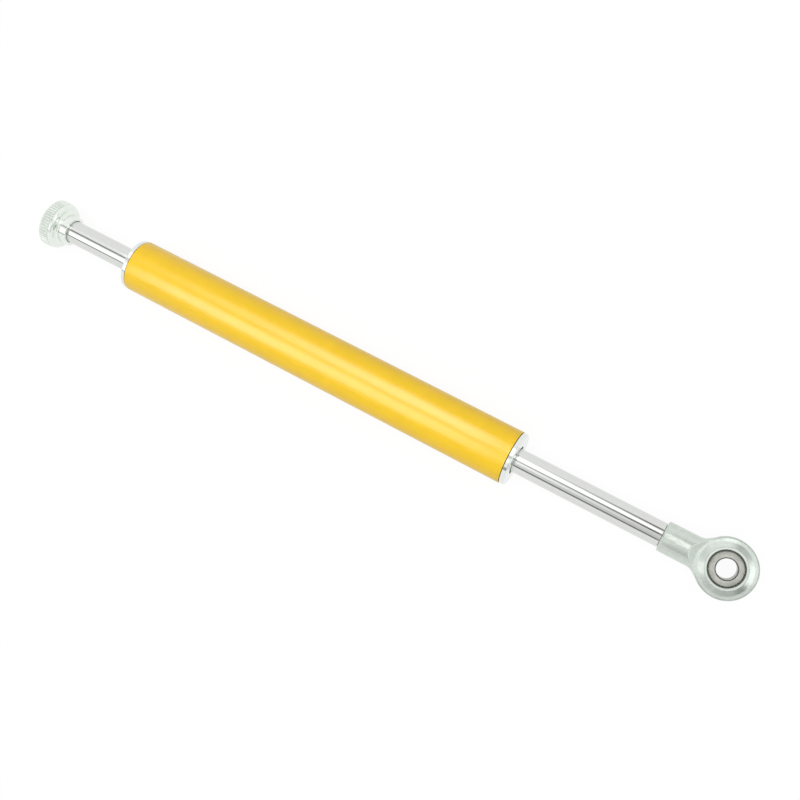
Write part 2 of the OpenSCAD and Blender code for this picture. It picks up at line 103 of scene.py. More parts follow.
def lathe(name, outline, axis="X", centre=0, segments=160, closed=False):
    work = bmesh.new()
    rings = []
    for along, radius in outline:
        ring = []
        for step in range(segments if radius > 1e-7 else 1):  # a single point closes a pole
            angle = 2 * math.pi * step / segments
            across = (radius * math.cos(angle), radius * math.sin(angle))
            spot = (along, *across) if axis == "X" else (centre + across[0], across[1], along)
            ring.append(work.verts.new(spot))
        rings.append(ring)
    pairs = list(zip(rings, rings[1:]))
    if closed:
        pairs.append((rings[-1], rings[0]))
    for one, two in pairs:
        for step in range(segments):
            beside = (step + 1) % segments
            corners = [one[step % len(one)], two[step % len(two)]]
            if len(two) > 1:
                corners.append(two[beside])
            if len(one) > 1:
                corners.append(one[beside])
            if len(corners) > 2:
                work.faces.new(corners)
    return newPiece(name, work)


def settle(piece):  # the modifiers' result becomes the plain mesh
    graph = bpy.context.evaluated_depsgraph_get()
    mesh = bpy.data.meshes.new_from_object(piece.evaluated_get(graph))
    piece.modifiers.clear()
    piece.data = mesh
    mesh.name = piece.name
    return piece


def cutAway(piece, *tools):
    for tool in tools:
        cut = piece.modifiers.new("cut", "BOOLEAN")
        cut.operation = "DIFFERENCE"
        cut.solver = "MANIFOLD"
        cut.object = tool
    settle(piece)
    for tool in tools:
        bpy.data.objects.remove(tool)
    piece.data.materials.clear()
    shade(piece.data)
    return piece


def joined(name, *parts):  # several closed shells in one mesh
    work = bmesh.new()
    for part in parts:
        work.from_mesh(part.data)
        bpy.data.objects.remove(part)
    mesh = bpy.data.meshes.new(name)
    work.to_mesh(mesh)
    work.free()
    piece = bpy.data.objects.new(name, mesh)
    scene.collection.objects.link(piece)
    return piece


def ball(name, centre, radius):
    work = bmesh.new()
    bmesh.ops.create_uvsphere(work, u_segments=32, v_segments=16, radius=radius)
    bmesh.ops.translate(work, verts=work.verts, vec=centre)
    return newPiece(name, work)


def bar(name, centre, direction, radius, length, segments=48):  # plain round bar about its centre
    work = bmesh.new()
    turn = Vector((0, 0, 1)).rotation_difference(Vector(direction)).to_matrix().to_4x4()
    bmesh.ops.create_cone(
        work, cap_ends=True, segments=segments, radius1=radius, radius2=radius, depth=length,
        matrix=Matrix.Translation(centre) @ turn,
    )
    return newPiece(name, work)


# Finishes

def addNode(tree, kind, inputs=None, **settings):
    node = tree.nodes.new(kind)
    for key, value in settings.items():
        setattr(node, key, value)
    for key, value in (inputs or {}).items():
        node.inputs[key].default_value = value
    return node


def grain(tree, stretch, detail=3.0):  # noise on object coordinates, stretched
    place = addNode(tree, "ShaderNodeTexCoord")
    mapping = addNode(tree, "ShaderNodeMapping", {"Scale": stretch})
    noise = addNode(tree, "ShaderNodeTexNoise", {"Scale": 1.0, "Detail": detail, "Roughness": 0.6})
    tree.links.new(place.outputs["Object"], mapping.inputs["Vector"])
    tree.links.new(mapping.outputs["Vector"], noise.inputs["Vector"])
    return noise.outputs["Fac"]


def toolMarks(tree, axis, centre, pitch):  # rings left by turning: along the axis and out from it
    place = addNode(tree, "ShaderNodeTexCoord")
    mapping = addNode(tree, "ShaderNodeMapping", {"Location": (-centre, 0, 0)})
    split = addNode(tree, "ShaderNodeSeparateXYZ")
    flat = addNode(tree, "ShaderNodeCombineXYZ")
    radius = addNode(tree, "ShaderNodeVectorMath", operation="LENGTH")
    total = addNode(tree, "ShaderNodeMath", operation="ADD")
    noise = addNode(
        tree, "ShaderNodeTexNoise",
        {"Scale": 1 / pitch, "Detail": 2.0, "Roughness": 0.7}, noise_dimensions="1D",
    )
    across = [name for name in "XYZ" if name != axis]
    tree.links.new(place.outputs["Object"], mapping.inputs["Vector"])
    tree.links.new(mapping.outputs["Vector"], split.inputs["Vector"])
    tree.links.new(split.outputs[across[0]], flat.inputs["X"])
    tree.links.new(split.outputs[across[1]], flat.inputs["Y"])
    tree.links.new(flat.outputs["Vector"], radius.inputs[0])
    tree.links.new(radius.outputs["Value"], total.inputs[0])
    tree.links.new(split.outputs[axis], total.inputs[1])
    tree.links.new(total.outputs["Value"], noise.inputs["W"])
    return noise.outputs["Fac"]


def spread(tree, fac, low, high):  # noise to a range of values
    span = addNode(
        tree, "ShaderNodeMapRange",
        {"From Min": 0.3, "From Max": 0.7, "To Min": low, "To Max": high},
    )
    tree.links.new(fac, span.inputs["Value"])
    return span.outputs["Result"]


def finish(name, look):
    material = bpy.data.materials.new(name)
    material.use_nodes = True
    tree = material.node_tree
    shader = tree.nodes["Principled BSDF"]
    shader.inputs["Metallic"].default_value = look["metallic"]
    shader.inputs["Specular Tint"].default_value = (*look.get("glossTint", (1, 1, 1)), 1)
    mottle = grain(tree, (look["mottle"],) * 3)
    tones = addNode(tree, "ShaderNodeValToRGB")
    tones.color_ramp.elements[0].position = 0.3
    tones.color_ramp.elements[0].color = (*look["tones"][0], 1)
    tones.color_ramp.elements[1].position = 0.7
    tones.color_ramp.elements[1].color = (*look["tones"][1], 1)
    tree.links.new(mottle, tones.inputs["Fac"])
    tree.links.new(tones.outputs["Color"], shader.inputs["Base Color"])
    if "turned" in look:
        fine = toolMarks(tree, look["turned"], look.get("centre", 0), look["pitch"])
    else:
        fine = grain(tree, look["stretch"], 4.0)
    tree.links.new(spread(tree, fine, *look["roughness"]), shader.inputs["Roughness"])
    bump = addNode(tree, "ShaderNodeBump", {"Strength": look["bump"], "Distance": look["depth"]})
    tree.links.new(fine, bump.inputs["Height"])
    tree.links.new(bump.outputs["Normal"], shader.inputs["Normal"])
    return material


eyeLow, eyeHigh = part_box("rod_end_ball")
eyeX = (eyeLow.x + eyeHigh.x) / 2

looks = {
    "goldAnodise": {
        "tones": ((0.89, 0.575, 0.005), (0.94, 0.605, 0.007)), "metallic": 0.0, "mottle": 160,
        "roughness": (0.26, 0.30), "stretch": (90, 5200, 5200), "bump": 0.06, "depth": 0.00002,
        "glossTint": (0.35, 0.3, 1.0),
    },
    "hardChrome": {
        "tones": ((0.70, 0.71, 0.69), (0.74, 0.75, 0.73)), "metallic": 1.0, "mottle": 900,
        "roughness": (0.035, 0.07), "turned": "X", "pitch": 0.00016, "bump": 0.03, "depth": 0.00001,
    },
    "polishedCap": {
        "tones": ((0.77, 0.80, 0.775), (0.83, 0.85, 0.825)), "metallic": 1.0, "mottle": 500,
        "roughness": (0.07, 0.14), "turned": "X", "pitch": 0.00022, "bump": 0.05, "depth": 0.00001,
    },
    "zincKnob": {
        "tones": ((0.80, 0.855, 0.795), (0.86, 0.905, 0.85)), "metallic": 1.0, "mottle": 420,
        "roughness": (0.10, 0.18), "turned": "X", "pitch": 0.0003, "bump": 0.05, "depth": 0.00002,
    },
    "zincShank": {
        "tones": ((0.58, 0.635, 0.58), (0.65, 0.70, 0.645)), "metallic": 1.0, "mottle": 520,
        "roughness": (0.14, 0.26), "stretch": (500, 1500, 1500), "bump": 0.16, "depth": 0.00004,
    },
    "zincEye": {
        "tones": ((0.60, 0.66, 0.61), (0.68, 0.73, 0.68)), "metallic": 1.0, "mottle": 480,
        "roughness": (0.16, 0.28), "turned": "Z", "centre": eyeX, "pitch": 0.00028,
        "bump": 0.16, "depth": 0.00003,
    },
    # painted shade: a darker, rougher zinc for the eye's rim and the lip's foot
    "zincPaintedShade": {
        "tones": ((0.44, 0.49, 0.45), (0.56, 0.61, 0.56)), "metallic": 1.0, "mottle": 620,
        "roughness": (0.30, 0.42), "turned": "Z", "centre": eyeX, "pitch": 0.00028,
        "bump": 0.20, "depth": 0.00003,
    },
    "zincKnurl": {
        "tones": ((0.77, 0.825, 0.765), (0.84, 0.885, 0.83)), "metallic": 1.0, "mottle": 620,
        "roughness": (0.18, 0.26), "stretch": (900, 1800, 1800), "bump": 0.10, "depth": 0.00002,
    },
    "zincFacing": {
        "tones": ((0.68, 0.74, 0.68), (0.76, 0.81, 0.75)), "metallic": 1.0, "mottle": 620,
        "roughness": (0.50, 0.60), "stretch": (900, 1800, 1800), "bump": 0.10, "depth": 0.00002,
    },
    "groundSteel": {
        "tones": ((0.44, 0.45, 0.40), (0.60, 0.60, 0.56)), "metallic": 1.0, "mottle": 330,
        "roughness": (0.40, 0.50), "turned": "Z", "centre": eyeX, "pitch": 0.0002,
        "bump": 0.08, "depth": 0.00002,
    },
    # painted shade: a near-black steel standing for the shade in the cap joints, the rod's relief groove,
    # the ball's hole chamfers and the race
    "paintedShadeSteel": {
        "tones": ((0.10, 0.11, 0.10), (0.16, 0.17, 0.15)), "metallic": 1.0, "mottle": 700,
        "roughness": (0.30, 0.42), "turned": "Z", "centre": eyeX, "pitch": 0.0002,
        "bump": 0.10, "depth": 0.00002,
    },
    "screwSteel": {
        "tones": ((0.40, 0.41, 0.40), (0.50, 0.51, 0.49)), "metallic": 1.0, "mottle": 900,
        "roughness": (0.25, 0.38), "turned": "X", "pitch": 0.0002, "bump": 0.12, "depth": 0.00002,
    },
    "turnedBronze": {
        "tones": ((0.44, 0.26, 0.10), (0.54, 0.34, 0.15)), "metallic": 1.0, "mottle": 500,
        "roughness": (0.24, 0.36), "turned": "X", "pitch": 0.0003, "bump": 0.14, "depth": 0.00002,
    },
    "filledPtfe": {
        "tones": ((0.62, 0.60, 0.54), (0.72, 0.70, 0.64)), "metallic": 0.0, "mottle": 700,
        "roughness": (0.42, 0.55), "turned": "X", "pitch": 0.0003, "bump": 0.10, "depth": 0.00002,
    },
    "blackRubber": {
        "tones": ((0.010, 0.010, 0.011), (0.026, 0.026, 0.028)), "metallic": 0.0, "mottle": 800,
        "roughness": (0.48, 0.68), "stretch": (3500, 3500, 3500), "bump": 0.20, "depth": 0.00003,
    },
    "springSteel": {
        "tones": ((0.36, 0.36, 0.37), (0.46, 0.46, 0.47)), "metallic": 1.0, "mottle": 1200,
        "roughness": (0.18, 0.30), "stretch": (2000, 2000, 2000), "bump": 0.06, "depth": 0.00001,
    },
}
finishes = {name: finish(name, look) for name, look in looks.items()}
print("finishes made:", len(finishes))


def wear(piece, *labels):
    for label in labels:
        piece.data.materials.append(finishes[label])


def place(piece, body, slot, *nodes):  # the piece stands for these CAD nodes
    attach(piece, body)
    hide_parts(*nodes)


# Tube: a rectangle with rounded corners swept round the rod's axis

tubeSet = {"wall": 2.2 * mm, "bevel": 0.08 * mm, "bevelSteps": 4, "segments": 224}


def sweepTree():
    tree = bpy.data.node_groups.new("tubeSweep", "GeometryNodeTree")
    face = tree.interface
    sockets = {}
    for name, kind in (
        ("Radius", "NodeSocketFloat"), ("Wall", "NodeSocketFloat"), ("Length", "NodeSocketFloat"),
        ("Bevel", "NodeSocketFloat"), ("Bevel Steps", "NodeSocketInt"), ("Segments", "NodeSocketInt"),
        ("Finish", "NodeSocketMaterial"),
    ):
        sockets[name] = face.new_socket(name=name, in_out="INPUT", socket_type=kind).identifier
    face.new_socket(name="Geometry", in_out="OUTPUT", socket_type="NodeSocketGeometry")
    given = addNode(tree, "NodeGroupInput")
    result = addNode(tree, "NodeGroupOutput")
    section = addNode(tree, "GeometryNodeCurvePrimitiveQuadrilateral")
    corner = addNode(tree, "GeometryNodeFilletCurve", mode="POLY")
    path = addNode(tree, "GeometryNodeCurvePrimitiveCircle")
    middle = addNode(tree, "ShaderNodeMath", {1: -0.5}, operation="MULTIPLY_ADD")
    sweep = addNode(tree, "GeometryNodeCurveToMesh")
    turn = addNode(tree, "GeometryNodeTransform", {"Rotation": (0, math.pi / 2, 0)})
    realize = addNode(tree, "GeometryNodeRealizeInstances")
    paint = addNode(tree, "GeometryNodeSetMaterial")
    link = tree.links.new
    link(given.outputs["Wall"], section.inputs["Width"])
    link(given.outputs["Length"], section.inputs["Height"])
    link(section.outputs["Curve"], corner.inputs["Curve"])
    link(given.outputs["Bevel"], corner.inputs["Radius"])
    link(given.outputs["Bevel Steps"], corner.inputs["Count"])
    link(given.outputs["Wall"], middle.inputs[0])  # path radius is the middle of the wall
    link(given.outputs["Radius"], middle.inputs[2])
    link(middle.outputs["Value"], path.inputs["Radius"])
    link(given.outputs["Segments"], path.inputs["Resolution"])
    link(path.outputs["Curve"], sweep.inputs["Curve"])
    link(corner.outputs["Curve"], sweep.inputs["Profile Curve"])
    link(sweep.outputs["Mesh"], turn.inputs["Geometry"])
    link(turn.outputs["Geometry"], realize.inputs["Geometry"])
    link(realize.outputs["Geometry"], paint.inputs["Geometry"])
    link(given.outputs["Finish"], paint.inputs["Material"])
    link(paint.outputs["Geometry"], result.inputs["Geometry"])
    return tree, sockets


def emptyPiece(name):
    piece = bpy.data.objects.new(name, bpy.data.meshes.new(name))
    scene.collection.objects.link(piece)
    return piece


def grow(piece, tree, sockets, values):  # run a node tree on a piece and keep the plain mesh
    modifier = piece.modifiers.new("grow", "NODES")
    modifier.node_group = tree
    for name, value in values.items():
        modifier[sockets[name]] = value
    return settle(piece)


tubeStart, tubeEnd, tubeR = reach("cylinder_tube")
tube = grow(emptyPiece("tubeSleeve"), *sweepTree(), {
    "Radius": tubeR, "Wall": tubeSet["wall"], "Length": tubeEnd - tubeStart,
    "Bevel": tubeSet["bevel"], "Bevel Steps": tubeSet["bevelSteps"],
    "Segments": tubeSet["segments"], "Finish": finishes["goldAnodise"],
})
shade(tube.data)
place(tube, "barrel", "gold_anodised", "cylinder_tube")
print("tube swept:", len(tube.data.polygons), "faces")


# End caps and their wipers

capSet = {
    "flange": 2.3 * mm, "shadowGap": 0.3 * mm, "shadowDepth": 1.0 * mm,
    "faceRound": 0.7 * mm, "backRound": 0.06 * mm, "mouthRound": 0.25 * mm,
    "clipBite": 0.6 * mm, "seatGap": 0.03 * mm, "rodGap": 0.3 * mm,
}
wiperSet = {"runGap": 0.05 * mm, "lip": 0.4 * mm, "lipRound": 0.12 * mm, "cavity": 1.4 * mm}
rodR = reach("piston_rod")[2]


def sideName(piece, side):
    return ("eye_side_" if side > 0 else "knob_side_") + piece


def capOutline(side):  # stations run inwards from the cap's face
    face = max(abs(value) for value in reach(sideName("cap", side))[:2])

    def depths(piece):  # nearer and farther end, from the face
        ends = [abs(value) for value in reach(sideName(piece, side))[:2]]
        return face - max(ends), face - min(ends)

    gap = capSet["seatGap"]
    flange = capSet["flange"]
    capEnd = depths("cap")[1]
    wiperEnd = depths("wiper")[1] + gap
    sealStart = depths("rod_seal")[0] - gap
    ringStart, ringEnd = depths("cap_ring")
    clipStart, clipEnd = depths("bush_clip")
    flangeR = reach(sideName("cap", side))[2]
    wiperR = reach(sideName("wiper", side))[2] + gap
    seatR = reach(sideName("rod_seal", side))[2] + gap
    grooveR = reach(sideName("cap_ring", side))[2] - (ringEnd - ringStart) - gap
    boreR = rodR + capSet["rodGap"]
    spigotR = tubeR - tubeSet["wall"] - gap
    clipR = seatR + capSet["clipBite"]
    flangeEnd = flange - capSet["shadowGap"]  # a fine gap where cap meets tube; its faces get a painted shade, so it shows as a dark line
    shadowR = flangeR - capSet["shadowDepth"]
    corners = [
        (0, wiperR, capSet["mouthRound"]), (0, flangeR, capSet["faceRound"]),
        (flangeEnd, flangeR, capSet["backRound"]), (flangeEnd, shadowR, 0),
        (flange, shadowR, 0), (flange, spigotR, 0),
        (ringStart - gap, spigotR, 0), (ringStart - gap, grooveR, 0),
        (ringEnd + gap, grooveR, 0), (ringEnd + gap, spigotR, 0),
        (capEnd, spigotR, 0), (capEnd, seatR, 0),
        (clipEnd + gap, seatR, 0), (clipEnd + gap, clipR, 0),
        (clipStart, clipR, 0), (clipStart, seatR, 0),
        (sealStart, seatR, 0), (sealStart, boreR, 0),
        (wiperEnd, boreR, 0), (wiperEnd, wiperR, 0),
    ]
    return [(side * (face - along), radius) for along, radius in rounded(corners, closed=True)]


def wiperOutline(side):  # a lip that wipes the rod, with a soft edge and a hollow behind it
    low, high, outer = reach(sideName("wiper", side))
    front = high if side > 0 else low
    length = high - low
    tip = rodR + wiperSet["runGap"]
    lip = wiperSet["lip"]
    spots = [
        (0, tip), (0, tip + lip), (lip, outer), (length, outer),
        (length, tip + lip), (wiperSet["cavity"], tip + lip / 2),
    ]
    corners = [(along, radius, wiperSet["lipRound"]) for along, radius in spots]
    return [(front - side * along, radius) for along, radius in rounded(corners, closed=True)]


def paintJointShade(cap, side):  # painted shade: the groove between cap and tube gets the near-black finish
    face = max(abs(value) for value in reach(sideName("cap", side))[:2])
    slack = capSet["seatGap"] / 2
    start = capSet["flange"] - capSet["shadowGap"] - slack
    for part in cap.data.polygons:
        if start < face - side * part.center.x < capSet["flange"] + slack:
            part.material_index = 1


caps = []
for side, label in ((-1, "KnobSide"), (1, "EyeSide")):
    cap = lathe("cap" + label, capOutline(side), closed=True)
    caps.append(cap)
    wear(cap, "polishedCap", "paintedShadeSteel")
    paintJointShade(cap, side)
    place(cap, "barrel", "polished_aluminium", sideName("cap", side))
    wiper = lathe("wiper" + label, wiperOutline(side), closed=True)
    wear(wiper, "blackRubber")
    place(wiper, "barrel", "black_rubber", sideName("wiper", side))
print("caps and wipers turned")


# Rod: chromed bar with its stud, clip grooves, spindle bore, ports and click dimples

rodSet = {
    "endChamfer": 0.3 * mm, "grooveR": 4.5 * mm, "grooveGap": 0.03 * mm,
    "studR": 4.0 * mm, "studChamfer": 0.4 * mm, "relief": 0.22 * mm, "reliefDepth": 0.45 * mm,
    "runGap": 0.05 * mm, "endGap": 0.1 * mm, "collar": 1.5 * mm, "clipBite": 0.45 * mm,
    "portR": 1.0 * mm, "portOffset": 4.0 * mm, "drillOverrun": 2.0 * mm,
    "dimples": 6, "dimpleDrop": 0.35 * mm,
}


def makeRod():
    start, end, radius = reach("piston_rod")
    shoulder = reach("rod_end_body")[0]
    leftClip = reach("piston_clip_knob_side")
    rightClip = reach("piston_clip_eye_side")
    middle = (leftClip[0] + rightClip[1]) / 2
    port = rightClip[1] - middle + rodSet["portOffset"]
    drillEnd = middle + port + rodSet["drillOverrun"]
    bore = reach("spindle_ring")[2] + rodSet["runGap"]
    seat = reach("adjuster_spindle")[2] + rodSet["endGap"]
    clip = reach("spindle_clip")
    clipR = seat + rodSet["clipBite"]
    seatEnd = clip[1] + rodSet["collar"] + 2 * rodSet["endGap"]
    gap = rodSet["grooveGap"]
    corners = [
        (drillEnd, 0, 0), (drillEnd, bore, 0), (seatEnd, bore, 0), (seatEnd, seat, 0),
        (clip[1] + gap, seat, 0), (clip[1] + gap, clipR, 0),
        (clip[0] - gap, clipR, 0), (clip[0] - gap, seat, 0),
        (start, seat, 0), (start, radius, rodSet["endChamfer"]),
    ]
    for groove in (leftClip, rightClip):
        corners += [
            (groove[0] - gap, radius, 0), (groove[0] - gap, rodSet["grooveR"], 0),
            (groove[1] + gap, rodSet["grooveR"], 0), (groove[1] + gap, radius, 0),
        ]
    relief = shoulder - rodSet["relief"]
    reliefR = radius - rodSet["reliefDepth"]
    corners += [
        (relief, radius, 0), (relief, reliefR, 0),
        (shoulder, reliefR, 0), (shoulder, rodSet["studR"], 0),
        (end, rodSet["studR"], rodSet["studChamfer"]), (end, 0, 0),
    ]
    rod = lathe("rodBar", rounded(corners), segments=128)
    low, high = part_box("detent_ball")
    detent = (low + high) / 2
    detentR = (high.x - low.x) / 2 + rodSet["runGap"]
    pitch = Vector((0, detent.y, detent.z))
    tools = []
    for index in range(rodSet["dimples"]):
        turn = Matrix.Rotation(2 * math.pi * index / rodSet["dimples"], 3, "X")
        spot = Vector((detent.x + rodSet["dimpleDrop"], 0, 0)) + turn @ pitch
        tools.append(ball(f"dimple{index}", spot, detentR))
    for offset in (-port, port):
        tools.append(bar("port", (middle + offset, 0, radius), (0, 0, 1), rodSet["portR"], 2 * radius))
    cutAway(rod, *tools)
    wear(rod, "hardChrome", "paintedShadeSteel")
    # painted shade: the relief groove at the shoulder gets the near-black finish, a dark line where rod
    # meets shank
    for face in rod.data.polygons:
        spot = face.center
        if relief - gap < spot.x < shoulder + gap and math.hypot(spot.y, spot.z) < radius - gap:
            face.material_index = 1
    return rod


rod = makeRod()
place(rod, "rod", "hard_chrome", "piston_rod")
print("rod turned:", len(rod.data.polygons), "faces")


# Adjuster knob: a turned body, with its knurl grown as repeated ridges

knobSet = {
    "teeth": 50, "knurlLength": 5.4 * mm, "knurlInset": 0.7 * mm,
    "toothRise": 0.45 * mm, "toothSoft": 0.1 * mm, "toothTaper": 0.10,
    "chamfer": 1.0 * mm, "edgeRound": 0.2 * mm,
    "shoulderDrop": 0.35 * mm, "shoulderLength": 1.7 * mm, "shoulderRound": 1.25 * mm,
    "neckR": 6.5 * mm, "neckFillet": 1.1 * mm, "neckRound": 0.3 * mm,
    "neckBore": 5.14 * mm, "boreRound": 0.15 * mm,
    "endWall": 5.6 * mm, "driveR": 2.23 * mm, "driveDepth": 3.03 * mm, "screwR": 1.28 * mm,
    "headR": 2.28 * mm, "headDepth": 1.8 * mm, "headChamfer": 0.2 * mm,
    "detentR": 0.85 * mm, "detentDepth": 4.3 * mm,
}


def knurlTree():
    tree = bpy.data.node_groups.new("knurlRidges", "GeometryNodeTree")
    face = tree.interface
    sockets = {}
    for label, kind in (
        ("Teeth", "NodeSocketInt"), ("Root Radius", "NodeSocketFloat"), ("Rise", "NodeSocketFloat"),
        ("Soft Edge", "NodeSocketFloat"), ("Start", "NodeSocketFloat"), ("End", "NodeSocketFloat"),
        ("Taper", "NodeSocketFloat"), ("Finish", "NodeSocketMaterial"),
    ):
        sockets[label] = face.new_socket(name=label, in_out="INPUT", socket_type=kind).identifier
    face.new_socket(name="Geometry", in_out="OUTPUT", socket_type="NodeSocketGeometry")
    given = addNode(tree, "NodeGroupInput")
    result = addNode(tree, "NodeGroupOutput")
    link = tree.links.new
    section = addNode(tree, "GeometryNodeCurvePrimitiveCircle", {"Resolution": 4})  # square on its corner
    soft = addNode(tree, "GeometryNodeFilletCurve", {"Count": 2}, mode="POLY")
    link(given.outputs["Rise"], section.inputs["Radius"])
    link(section.outputs["Curve"], soft.inputs["Curve"])
    link(given.outputs["Soft Edge"], soft.inputs["Radius"])
    first = addNode(tree, "ShaderNodeCombineXYZ")
    last = addNode(tree, "ShaderNodeCombineXYZ")
    for point, socket in ((first, "Start"), (last, "End")):
        link(given.outputs[socket], point.inputs["X"])
        link(given.outputs["Root Radius"], point.inputs["Z"])
    ridge = addNode(tree, "GeometryNodeCurvePrimitiveLine")
    link(first.outputs["Vector"], ridge.inputs["Start"])
    link(last.outputs["Vector"], ridge.inputs["End"])
    steps = addNode(tree, "GeometryNodeResampleCurve", {"Count": 21})
    link(ridge.outputs["Curve"], steps.inputs["Curve"])
    along = addNode(tree, "GeometryNodeSplineParameter")  # the ridge sinks at both its ends
    mirror = addNode(tree, "ShaderNodeMath", {0: 1.0}, operation="SUBTRACT")
    nearer = addNode(tree, "ShaderNodeMath", operation="MINIMUM")
    ease = addNode(
        tree, "ShaderNodeMapRange", {"To Min": 0.35, "To Max": 1.0}, interpolation_type="SMOOTHSTEP"
    )
    link(along.outputs["Factor"], mirror.inputs[1])
    link(along.outputs["Factor"], nearer.inputs[0])
    link(mirror.outputs["Value"], nearer.inputs[1])
    link(nearer.outputs["Value"], ease.inputs["Value"])
    link(given.outputs["Taper"], ease.inputs["From Max"])
    sweep = addNode(tree, "GeometryNodeCurveToMesh", {"Fill Caps": True})
    link(steps.outputs["Curve"], sweep.inputs["Curve"])
    link(soft.outputs["Curve"], sweep.inputs["Profile Curve"])
    link(ease.outputs["Result"], sweep.inputs["Scale"])
    points = addNode(tree, "GeometryNodePoints")
    link(given.outputs["Teeth"], points.inputs["Count"])
    index = addNode(tree, "GeometryNodeInputIndex")
    share = addNode(tree, "ShaderNodeMath", operation="DIVIDE")
    angle = addNode(tree, "ShaderNodeMath", {1: 2 * math.pi}, operation="MULTIPLY")
    spin = addNode(tree, "ShaderNodeCombineXYZ")
    link(index.outputs["Index"], share.inputs[0])
    link(given.outputs["Teeth"], share.inputs[1])
    link(share.outputs["Value"], angle.inputs[0])
    link(angle.outputs["Value"], spin.inputs["X"])
    around = addNode(tree, "GeometryNodeInstanceOnPoints")
    link(points.outputs["Points"], around.inputs["Points"])
    link(sweep.outputs["Mesh"], around.inputs["Instance"])
    link(spin.outputs["Vector"], around.inputs["Rotation"])
    realize = addNode(tree, "GeometryNodeRealizeInstances")
    paint = addNode(tree, "GeometryNodeSetMaterial")
    link(around.outputs["Instances"], realize.inputs["Geometry"])
    link(realize.outputs["Geometry"], paint.inputs["Geometry"])
    link(given.outputs["Finish"], paint.inputs["Material"])
    link(paint.outputs["Geometry"], result.inputs["Geometry"])
    return tree, sockets


def makeKnob():
    start, end, radius = reach("adjuster_knob")
    root = radius - knobSet["toothRise"]
    knurlEnd = start + knobSet["knurlLength"]
    shoulderR = radius - knobSet["shoulderDrop"]
    shoulderEnd = knurlEnd + knobSet["shoulderLength"]
    wall = start + knobSet["endWall"]
    drive = wall - knobSet["driveDepth"]
    head = start + knobSet["headDepth"]
    edge = knobSet["edgeRound"]
    corners = [
        (start, knobSet["headR"], knobSet["headChamfer"]), (start, root - knobSet["chamfer"], edge),
        (start + knobSet["chamfer"], root, edge), (knurlEnd, root, 0),
        (knurlEnd, shoulderR, edge), (shoulderEnd, shoulderR, knobSet["shoulderRound"]),
        (shoulderEnd, knobSet["neckR"], knobSet["neckFillet"]),
        (end, knobSet["neckR"], knobSet["neckRound"]),
        (end, knobSet["neckBore"], knobSet["boreRound"]), (wall, knobSet["neckBore"], 0),
        (wall, knobSet["driveR"], 0), (drive, knobSet["driveR"], 0), (drive, knobSet["screwR"], 0),
        (head, knobSet["screwR"], 0), (head, knobSet["headR"], 0),
    ]
    body = lathe("body", rounded(corners, closed=True), closed=True, segments=192)
    low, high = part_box("detent_ball")
    pitch = (low + high) / 2
    pocketMiddle = wall - knobSet["detentDepth"] / 2 + knobSet["neckR"]
    pocketLength = knobSet["detentDepth"] + 2 * knobSet["neckR"]
    hole = bar("pocket", (pocketMiddle, pitch.y, pitch.z), (1, 0, 0), knobSet["detentR"], pocketLength)
    cutAway(body, hole)
    ridges = grow(emptyPiece("ridges"), *knurlTree(), {
        "Teeth": knobSet["teeth"], "Root Radius": root, "Rise": knobSet["toothRise"],
        "Soft Edge": knobSet["toothSoft"], "Start": start + knobSet["knurlInset"], "End": knurlEnd,
        "Taper": knobSet["toothTaper"], "Finish": finishes["zincKnurl"],
    })
    for face in ridges.data.polygons:
        face.material_index = 1
    for face in body.data.polygons:
        spot = face.center
        if spot.x < knurlEnd and math.hypot(spot.y, spot.z) > root - edge:
            face.material_index = 2
    knob = joined("adjusterKnob", body, ridges)
    wear(knob, "zincKnob", "zincKnurl", "zincFacing")
    return knob


knob = makeKnob()
place(knob, "knob", "zinc_plate", "adjuster_knob")
print("knob turned and knurled:", len(knob.data.polygons), "faces")


# Knob screw: cap head with a hexagon socket

screwSet = {
    "headHeight": 1.5 * mm, "headRound": 0.3 * mm, "shankR": 1.25 * mm, "tip": 0.3 * mm,
    "socketR": 1.15 * mm, "socketDepth": 0.9 * mm, "socketCone": 0.3 * mm, "socketLead": 0.12 * mm,
    "socketSides": 6, "segments": 96,
}


def makeScrew():
    start, end, headR = reach("knob_screw")
    socketEnd = start + screwSet["socketDepth"]
    headEnd = start + screwSet["headHeight"]
    hexagon = screwSet["socketR"]
    lead = screwSet["socketLead"]
    shankR = screwSet["shankR"]
    tip = screwSet["tip"]
    corners = [
        (socketEnd + screwSet["socketCone"], 0, 0), (socketEnd, hexagon, 0), (start + lead, hexagon, 0),
        (start, hexagon + lead, 0), (start, headR, screwSet["headRound"]),
        (headEnd, headR, 0), (headEnd, shankR, 0),
        (end - tip, shankR, 0), (end, shankR - tip, 0), (end, 0, 0),
    ]
    screw = lathe("knobScrew", rounded(corners), segments=screwSet["segments"])
    side = 2 * math.pi / screwSet["socketSides"]
    near = 0.01 * mm
    for vertex in screw.data.vertices:  # the socket's wall is drawn in to flat sides
        spot = vertex.co
        radius = math.hypot(spot.y, spot.z)
        if abs(radius - hexagon) < near and spot.x < socketEnd + near:
            off = math.atan2(spot.z, spot.y) % side - side / 2
            scale = math.cos(side / 2) / math.cos(off)
            spot.y *= scale
            spot.z *= scale
    shade(screw.data, 25)
    return screw


screw = makeScrew()
wear(screw, "screwSteel")
place(screw, "knob", "bearing_steel", "knob_screw")
print("knob screw made")


# Rod end: turned shank and neck, faced down beside a turned eye

